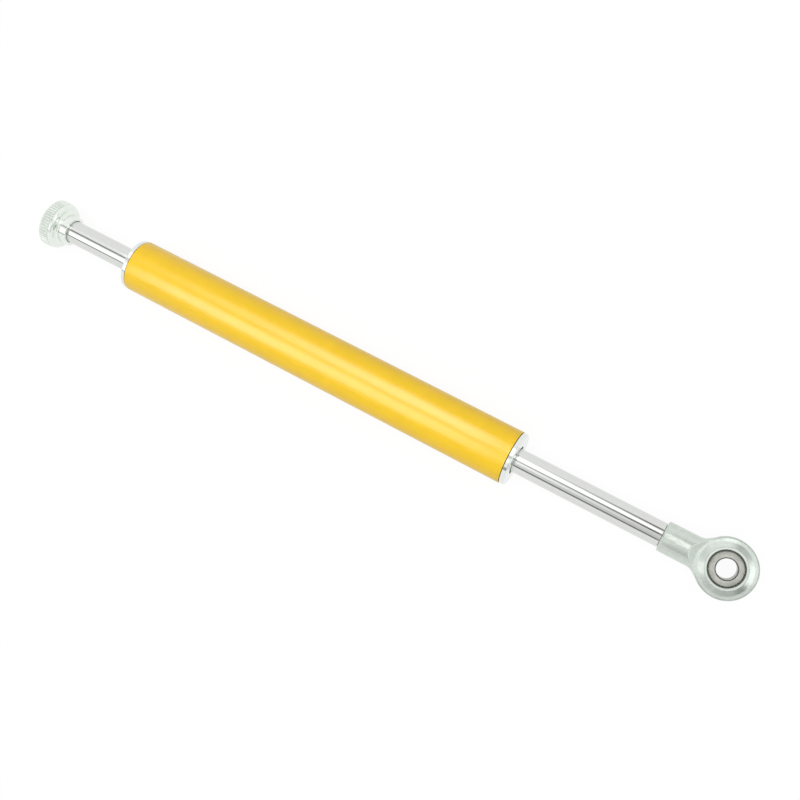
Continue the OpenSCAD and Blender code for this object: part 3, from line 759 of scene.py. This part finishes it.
rodEndSet = {
    "shankR": 6.2 * mm, "shankChamfer": 0.6 * mm, "chamferRound": 0.15 * mm,
    "neckAngle": 35, "neckFillet": 5.0 * mm, "neckSteps": 24, "skinStep": 0.12 * mm,
    "studHole": 4.03 * mm, "studDepth": 9.85 * mm, "eyeCore": 10.7 * mm,
    "faceHeight": 3.73 * mm, "rimWidth": 0.6 * mm, "rimDrop": 0.18 * mm, "rimRound": 0.14 * mm,
    "eyeRound": 0.3 * mm, "coveWidth": 1.95 * mm, "coveRound": 2.4 * mm,
    "facingDrop": 0.06 * mm, "facingWidth": 3.5 * mm, "facingRise": 2.8 * mm, "facingBend": 1.12,
    "facingBlend": 0.3 * mm, "facingLean": 0.25, "facingUp": 0.5,
    "lipR": 7.21 * mm, "lipHeight": 4.53 * mm, "lipWidth": 0.85 * mm, "lipIn": 0.12 * mm,
    "lipOut": 0.05 * mm, "lipStep": 0.14 * mm, "lipFoot": 0.22 * mm,
    "pocketR": 9.08 * mm, "pocketHeight": 4.03 * mm, "pocketChamfer": 1.0 * mm,
    "segments": 240,
}


def bothSides(upper):  # an outline that is alike above and below
    lower = [(-along, radius, fillet) for along, radius, fillet in reversed(upper)]
    return upper + lower


def makeEye(eyeR):
    s = rodEndSet
    face = s["faceHeight"]
    rim = face - s["rimWidth"]
    lipEnd = s["lipR"] + s["lipWidth"]
    coveStart = lipEnd + s["lipFoot"]
    upper = [
        (s["pocketHeight"] - s["pocketChamfer"], s["pocketR"], 0),
        (s["pocketHeight"], s["pocketR"] - s["pocketChamfer"], 0),
        (s["pocketHeight"], s["lipR"], 0), (s["lipHeight"], s["lipR"], s["lipIn"]),
        (s["lipHeight"], lipEnd, s["lipOut"]), (s["lipHeight"] - s["lipStep"], coveStart, s["lipOut"]),
        (face, coveStart + s["coveWidth"], s["coveRound"]),
        (face - s["rimDrop"], eyeR - s["rimWidth"], s["rimRound"]), (rim, eyeR, s["eyeRound"]),
    ]
    return lathe("eye", rounded(bothSides(upper), closed=True), "Z", eyeX, s["segments"], closed=True)


def facingReach(spot, eyeR):  # how far from the rod's axis the facing cut lies, this way out
    s = rodEndSet
    floor = s["faceHeight"] - s["facingDrop"]
    radius = math.hypot(spot.y, spot.z)
    up, across = abs(spot.z) / radius, spot.y / radius
    low, high = 0, 2 * eyeR
    for step in range(30):
        middle = (low + high) / 2
        out = math.hypot(spot.x - eyeX, middle * across)
        ramp = (max(out - eyeR, 0) / s["facingWidth"]) ** s["facingBend"]
        if middle * up < floor + s["facingRise"] * ramp:
            low = middle
        else:
            high = middle
    return low


def makeNeck(start, eyeR):
    s = rodEndSet
    angle = math.radians(s["neckAngle"])
    flankR = eyeR * math.cos(angle)
    flankX = eyeX - eyeR * math.sin(angle)
    cornerX = flankX - (flankR - s["shankR"]) / math.tan(angle)
    holeEnd = start + s["studDepth"]
    corners = [
        (holeEnd, 0, 0), (holeEnd, s["studHole"], 0), (start, s["studHole"], 0),
        (start, s["shankR"] - s["shankChamfer"], s["chamferRound"]),
        (start + s["shankChamfer"], s["shankR"], s["chamferRound"]),
        (cornerX, s["shankR"], s["neckFillet"]), (flankX, flankR, 0), (flankX, 0, 0),
    ]
    outline = rounded(corners, steps=s["neckSteps"])
    skin = outline[:1]
    for spot in outline[1:]:  # close rings where the facing cut runs out
        gap = spot - skin[-1]
        close = spot.x > holeEnd - 2 * s["shankR"] and gap.x > 0
        count = math.ceil(gap.length / s["skinStep"]) if close else 1
        skin += [skin[-1] + gap * step / count for step in range(1, count + 1)]
    neck = lathe("neck", skin, segments=s["segments"])
    for vertex in neck.data.vertices:
        radius = math.hypot(vertex.co.y, vertex.co.z)
        if radius < s["studHole"] + s["facingBlend"]:
            continue
        cut = facingReach(vertex.co, eyeR)
        near = max(s["facingBlend"] - abs(cut - radius), 0)
        wanted = min(cut, radius) - near * near / (4 * s["facingBlend"])  # the cut's edge is softened
        vertex.co.y *= wanted / radius
        vertex.co.z *= wanted / radius
    shade(neck.data)
    return cutAway(neck, bar("core", (eyeX, 0, 0), (0, 0, 1), s["eyeCore"], 4 * eyeR, s["segments"]))


def makeRodEnd():
    start, end, eyeR = reach("rod_end_body")
    eye = makeEye(eyeR)
    foot = rodEndSet["lipR"] + rodEndSet["lipWidth"]
    for face in eye.data.polygons:  # the eye is turned; its rim and the lip's foot get a rougher finish with a darker tone, painted shade at the rim's edge and in the lip's crease
        out = math.hypot(face.center.x - eyeX, face.center.y)
        shadedRing = out > eyeR - rodEndSet["rimWidth"] or foot < out < foot + rodEndSet["lipFoot"]
        face.material_index = 2 if shadedRing else 1
    neck = makeNeck(start, eyeR)
    for face in neck.data.polygons:  # the facing cut leans towards the eye
        out = math.hypot(face.center.x - eyeX, face.center.y)
        leans = face.normal.x > rodEndSet["facingLean"] and abs(face.normal.z) > rodEndSet["facingUp"]
        if out > eyeR and leans:
            face.material_index = 3
    rodEnd = joined("rodEnd", eye, neck)
    wear(rodEnd, "zincShank", "zincEye", "zincPaintedShade", "zincFacing")
    return rodEnd


rodEnd = makeRodEnd()
place(rodEnd, "rod", "zinc_plate", "rod_end_body")
print("rod end made:", len(rodEnd.data.polygons), "faces")


# Spherical bearing

bearingSet = {
    "runGap": 0.05 * mm, "boltR": 4.0 * mm, "boltChamfer": 0.4 * mm, "raceChamfer": 1.0 * mm,
    "arcSteps": 28, "segments": 160,
}


def sphereArc(radius, low, high, steps):  # points on a ball between two heights
    first = math.asin(low / radius)
    last = math.asin(high / radius)
    angles = [first + (last - first) * step / steps for step in range(steps + 1)]
    return [(radius * math.sin(angle), radius * math.cos(angle)) for angle in angles]


def makeBall():
    low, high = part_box("rod_end_ball")
    height = high.z
    radius = (high.x - low.x) / 2
    bolt = bearingSet["boltR"]
    chamfer = bearingSet["boltChamfer"]
    outline = sphereArc(radius, -height, height, bearingSet["arcSteps"])
    outline += [(height, bolt + chamfer), (height - chamfer, bolt)]
    outline += [(chamfer - height, bolt), (-height, bolt + chamfer)]
    piece = lathe("bearingBall", outline, "Z", eyeX, bearingSet["segments"], closed=True)
    wear(piece, "groundSteel", "paintedShadeSteel")
    for face in piece.data.polygons:  # painted shade: the hole's chamfers get the near-black finish
        out = math.hypot(face.center.x - eyeX, face.center.y)
        if out < bolt + chamfer and abs(face.center.z) > height - chamfer:
            face.material_index = 1
    return piece


def makeRace():
    low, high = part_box("rod_end_ball")
    seat = (high.x - low.x) / 2 + bearingSet["runGap"]
    raceLow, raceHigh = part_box("rod_end_race")
    outer = (raceHigh.x - raceLow.x) / 2
    height = raceHigh.z
    chamfer = bearingSet["raceChamfer"]
    outline = sphereArc(seat, -height, height, bearingSet["arcSteps"])
    outline += [(height, outer - chamfer), (height - chamfer, outer)]
    outline += [(chamfer - height, outer), (-height, outer - chamfer)]
    piece = lathe("bearingRace", outline, "Z", eyeX, bearingSet["segments"], closed=True)
    # painted shade: the race is all near-black, standing for the shade in the thin ring between ball and
    # lip
    wear(piece, "paintedShadeSteel")
    return piece


place(makeBall(), "ball", "bearing_steel", "rod_end_ball")
place(makeRace(), "rod", "bearing_steel", "rod_end_race")
print("bearing turned")


# The other CAD pieces keep their shape and get their finish

keptFinish = {
    "blackRubber": ("cap_ring", "rod_seal"),
    "turnedBronze": ("bush",),
    "springSteel": ("bush_clip",),
}
for material, pieces in keptFinish.items():
    for piece in pieces:
        for side in (-1, 1):
            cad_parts[sideName(piece, side)].material_slots[0].material = finishes[material]
innerFinish = {
    "piston": "turnedBronze", "piston_band": "filledPtfe", "piston_band_ring": "blackRubber",
    "piston_bore_ring": "blackRubber", "piston_clip_knob_side": "springSteel",
    "piston_clip_eye_side": "springSteel", "spindle_clip": "springSteel",
    "adjuster_spindle": "turnedBronze", "spindle_ring": "blackRubber",
    "detent_spring": "springSteel", "detent_ball": "groundSteel",
}
for node, material in innerFinish.items():
    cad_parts[node].material_slots[0].material = finishes[material]
print("inner pieces finished:", 2 * sum(len(p) for p in keptFinish.values()) + len(innerFinish))


# Studio: white room, pale floor, and cards on drums around the rod's axis

studioSet = {
    "drum": 0.40, "rodDrum": 0.39, "tubeDrum": 0.38, "cardSteps": 8, "diffuseRoom": 0.43,
    "floorSize": 6.0, "floorGlow": 0.93, "floorColour": 0.96, "floorBounce": 0.6,
    "lampLevel": 0.69, "lampLean": -2, "lampSpread": 60,
    "cards": (
        # name, span along the rod, angles from straight up towards +Y and levels, both at the two ends
        ("softboxFrontLeft", (-0.382, -0.31), (-46, -12), (-46, -12), (1.6, 1.6)),
        ("softboxBackLeft", (-0.382, -0.31), (18, 36), (18, 36), (1.1, 1.1)),
        ("softboxBackRight", (0.03, 0.156), (8, 41), (14, 31), (2.0, 1.5)),
        ("softboxShank", (0.157, 0.186), (-3, 32), (-3, 32), (1.75, 1.75)),
        ("softboxFar", (0.42, 0.75), (-14, 29), (-14, 29), (1.5, 1.5)),
        ("flagSlotLeft", (-0.382, -0.31), (-2, 11), (-2, 11), (0.3, 0.3)),
        ("flagLineLeft", (-0.382, -0.31), (-58, -49), (-58, -49), (0.28, 0.28)),
        ("flagSlotRight", (0.03, 0.156), (-4, 4), (-6, 8), (0.7, 0.15)),
        ("glowRight", (0.03, 0.156), (-24, -10), (-24, -10), (1.3, 0.75)),
        ("flagGreyRight", (0.03, 0.156), (-46, -25), (-46, -25), (0.87, 0.68)),
        ("flagLineRight", (0.03, 0.156), (-60, -46), (-60, -46), (0.25, 0.25)),
        ("flagLineBack", (0.05, 0.156), (42, 50), (39, 54), (1.0, 0.2)),
        ("flagShank", (0.157, 0.186), (-88, -30), (-88, -30), (0.85, 0.85)),
        ("flagEyeFront", (0.188, 0.42), (-60, -24), (-60, -24), (0.64, 0.58)),
        ("flagEyeBack", (0.188, 0.42), (28, 58), (28, 58), (0.55, 0.75)),
        ("flagFace", (0.188, 0.42), (-14, -3), (-14, -3), (0.85, 0.7)),
        ("glowFace", (0.215, 0.42), (-3, 12), (-3, 12), (1.15, 1.25)),
        ("flagFar", (0.42, 0.75), (-48, -14), (-48, -14), (0.3, 0.3)),
    ),
    "rodCards": (  # only the rod and the caps see these
        ("softboxRodFront", (-0.31, 0.03), (-48, -12), (-46, -10), (0.6, 0.6)),
        ("softboxRodBack", (-0.31, 0.03), (10, 38), (6, 42), (0.6, 0.6)),
    ),
    "tubeCards": (  # only the tube sees these
        ("softboxFront", (-0.36, 0.09), (-48, -10), (-43, -8), (8.2, 6.0)),
        ("softboxBack", (-0.36, 0.09), (13, 37), (7, 43), (0.6, 10.8)),
    ),
    "screens": (
        # name, foot and head (along, up), span across the rod, levels at the two ends
        ("screenEyeFront", (0.1558, 0.008), (0.1558, 0.07), (-0.05, -0.024), (0.65, 1.0)),
        ("screenEyeBright", (0.1558, 0.008), (0.1558, 0.07), (-0.024, -0.006), (1.3, 1.3)),
        ("screenEyeMiddle", (0.1558, 0.008), (0.1558, 0.07), (-0.006, 0.008), (0.9, 0.9)),
        ("screenEyeBack", (0.1558, 0.008), (0.1558, 0.13), (0.008, 0.12), (1.05, 1.15)),
        ("screenFace", (0.1558, 0.13), (0.1558, 0.40), (-0.04, 0.04), (1.1, 1.1)),
    ),
}


def cameraOrGlossy(tree):  # 1 for what the camera, metal and glass see
    path = addNode(tree, "ShaderNodeLightPath")
    seen = path.outputs["Is Camera Ray"]
    for label in ("Is Glossy Ray", "Is Transmission Ray"):
        either = addNode(tree, "ShaderNodeMath", operation="MAXIMUM")
        tree.links.new(seen, either.inputs[0])
        tree.links.new(path.outputs[label], either.inputs[1])
        seen = either.outputs["Value"]
    return seen


def makeRoom():
    world = bpy.data.worlds.new("room")
    world.use_nodes = True
    scene.world = world
    tree = world.node_tree
    level = addNode(tree, "ShaderNodeMapRange", {"To Min": studioSet["diffuseRoom"], "To Max": 1.0})
    tree.links.new(cameraOrGlossy(tree), level.inputs["Value"])
    sky = tree.nodes["Background"]
    sky.inputs["Color"].default_value = (1, 1, 1, 1)
    tree.links.new(level.outputs["Result"], sky.inputs["Strength"])


def makeFloor():
    half = studioSet["floorSize"] / 2
    height = -tubeR
    work = bmesh.new()
    spots = ((-half, -half), (half, -half), (half, half), (-half, half))
    work.faces.new([work.verts.new((x, y, height)) for x, y in spots])
    floor = newPiece("floor", work)
    material = bpy.data.materials.new("paleFloor")
    material.use_nodes = True
    tree = material.node_tree
    tree.nodes.remove(tree.nodes["Principled BSDF"])
    matt = addNode(tree, "ShaderNodeBsdfDiffuse")
    path = addNode(tree, "ShaderNodeLightPath")
    tone = addNode(tree, "ShaderNodeMapRange", {
        "To Min": studioSet["floorBounce"], "To Max": studioSet["floorColour"],
    })
    tree.links.new(path.outputs["Is Camera Ray"], tone.inputs["Value"])
    tree.links.new(tone.outputs["Result"], matt.inputs["Color"])
    glow = addNode(tree, "ShaderNodeEmission", {"Color": (1, 1, 1, 1), "Strength": 1.0})
    blend = addNode(tree, "ShaderNodeMixShader")
    share = addNode(tree, "ShaderNodeMath", {1: studioSet["floorGlow"]}, operation="MULTIPLY")
    tree.links.new(cameraOrGlossy(tree), share.inputs[0])
    tree.links.new(share.outputs["Value"], blend.inputs["Fac"])
    tree.links.new(matt.outputs["BSDF"], blend.inputs[1])
    tree.links.new(glow.outputs["Emission"], blend.inputs[2])
    tree.links.new(blend.outputs["Shader"], tree.nodes["Material Output"].inputs["Surface"])
    floor.data.materials.append(material)


def makeGlow(label, work, axis, span, levels, seenBy=None):  # a card that only glossy surfaces see
    card = newPiece(label, work)
    material = bpy.data.materials.new(label)
    material.use_nodes = True
    tree = material.node_tree
    tree.nodes.remove(tree.nodes["Principled BSDF"])
    glow = addNode(tree, "ShaderNodeEmission", {"Color": (1, 1, 1, 1)})
    spot = addNode(tree, "ShaderNodeTexCoord")
    split = addNode(tree, "ShaderNodeSeparateXYZ")
    ramp = addNode(tree, "ShaderNodeMapRange", {
        "From Min": span[0], "From Max": span[1], "To Min": levels[0], "To Max": levels[1],
    })
    tree.links.new(spot.outputs["Object"], split.inputs["Vector"])
    tree.links.new(split.outputs[axis], ramp.inputs["Value"])
    tree.links.new(ramp.outputs["Result"], glow.inputs["Strength"])
    surface = glow.outputs["Emission"]
    if seenBy:  # the other pieces look through it
        clear = addNode(tree, "ShaderNodeBsdfTransparent")
        both = addNode(tree, "ShaderNodeAddShader")
        tree.links.new(surface, both.inputs[0])
        tree.links.new(clear.outputs["BSDF"], both.inputs[1])
        surface = both.outputs["Shader"]
        card.light_linking.receiver_collection = seenBy
    tree.links.new(surface, tree.nodes["Material Output"].inputs["Surface"])
    card.data.materials.append(material)
    card.visible_camera = False
    card.visible_diffuse = False
    card.visible_shadow = False


def makeCard(label, span, startAngles, endAngles, levels, drum=studioSet["drum"], seenBy=None):
    work = bmesh.new()
    steps = studioSet["cardSteps"]
    edges = []
    for x, (low, high) in zip(span, (startAngles, endAngles)):
        edge = []
        for step in range(steps + 1):
            angle = math.radians(low + (high - low) * step / steps)
            edge.append(work.verts.new((x, drum * math.sin(angle), drum * math.cos(angle))))
        edges.append(edge)
    for step in range(steps):
        work.faces.new((edges[0][step], edges[1][step], edges[1][step + 1], edges[0][step + 1]))
    makeGlow(label, work, "X", span, levels, seenBy)


def makeScreen(label, foot, head, span, levels):
    work = bmesh.new()
    spots = ((foot, span[0]), (foot, span[1]), (head, span[1]), (head, span[0]))
    work.faces.new([work.verts.new((along, across, up)) for (along, up), across in spots])
    makeGlow(label, work, "Y", span, levels)


def makeLamp():  # broad light from above, for matt surfaces and the floor's shadow
    light = bpy.data.lights.new("overheadLamp", "SUN")
    light.energy = studioSet["lampLevel"] * math.pi
    light.angle = math.radians(studioSet["lampSpread"])
    lamp = bpy.data.objects.new("overheadLamp", light)
    scene.collection.objects.link(lamp)
    lamp.rotation_euler = (math.radians(-studioSet["lampLean"]), 0, 0)
    lamp.visible_glossy = False


makeRoom()
makeFloor()
makeLamp()
for card in studioSet["cards"]:
    makeCard(*card)
for cards, drum, pieces in (("rodCards", "rodDrum", (rod, *caps)), ("tubeCards", "tubeDrum", (tube,))):
    lit = bpy.data.collections.new(cards)
    for piece in pieces:
        lit.objects.link(piece)
    for card in studioSet[cards]:
        makeCard(*card, studioSet[drum], lit)
for screen in studioSet["screens"]:
    makeScreen(*screen)
kinds = ("cards", "rodCards", "tubeCards", "screens")
print("studio set:", ", ".join(f"{len(studioSet[kind])} {kind}" for kind in kinds))


# Camera at the photograph's angle

cameraSet = {
    "location": (0.1558, 0.0164, 0.4586), "aim": (0.0396, 0, 0), "upAngle": 117.6,
    "lens": 52.59, "sensor": 36, "nearest": 0.01,
}


def makeCamera():
    lens = bpy.data.cameras.new("camera")
    lens.lens = cameraSet["lens"]
    lens.sensor_width = cameraSet["sensor"]
    lens.clip_start = cameraSet["nearest"]
    camera = bpy.data.objects.new("camera", lens)
    scene.collection.objects.link(camera)
    location = Vector(cameraSet["location"])
    back = (location - Vector(cameraSet["aim"])).normalized()
    turn = math.radians(cameraSet["upAngle"])
    right = Vector((math.cos(turn), math.sin(turn), 0)).cross(back).normalized()
    up = back.cross(right)
    camera.matrix_world = Matrix.Translation(location) @ Matrix((right, up, back)).transposed().to_4x4()
    scene.camera = camera


makeCamera()
scene.view_settings.view_transform = "Standard"
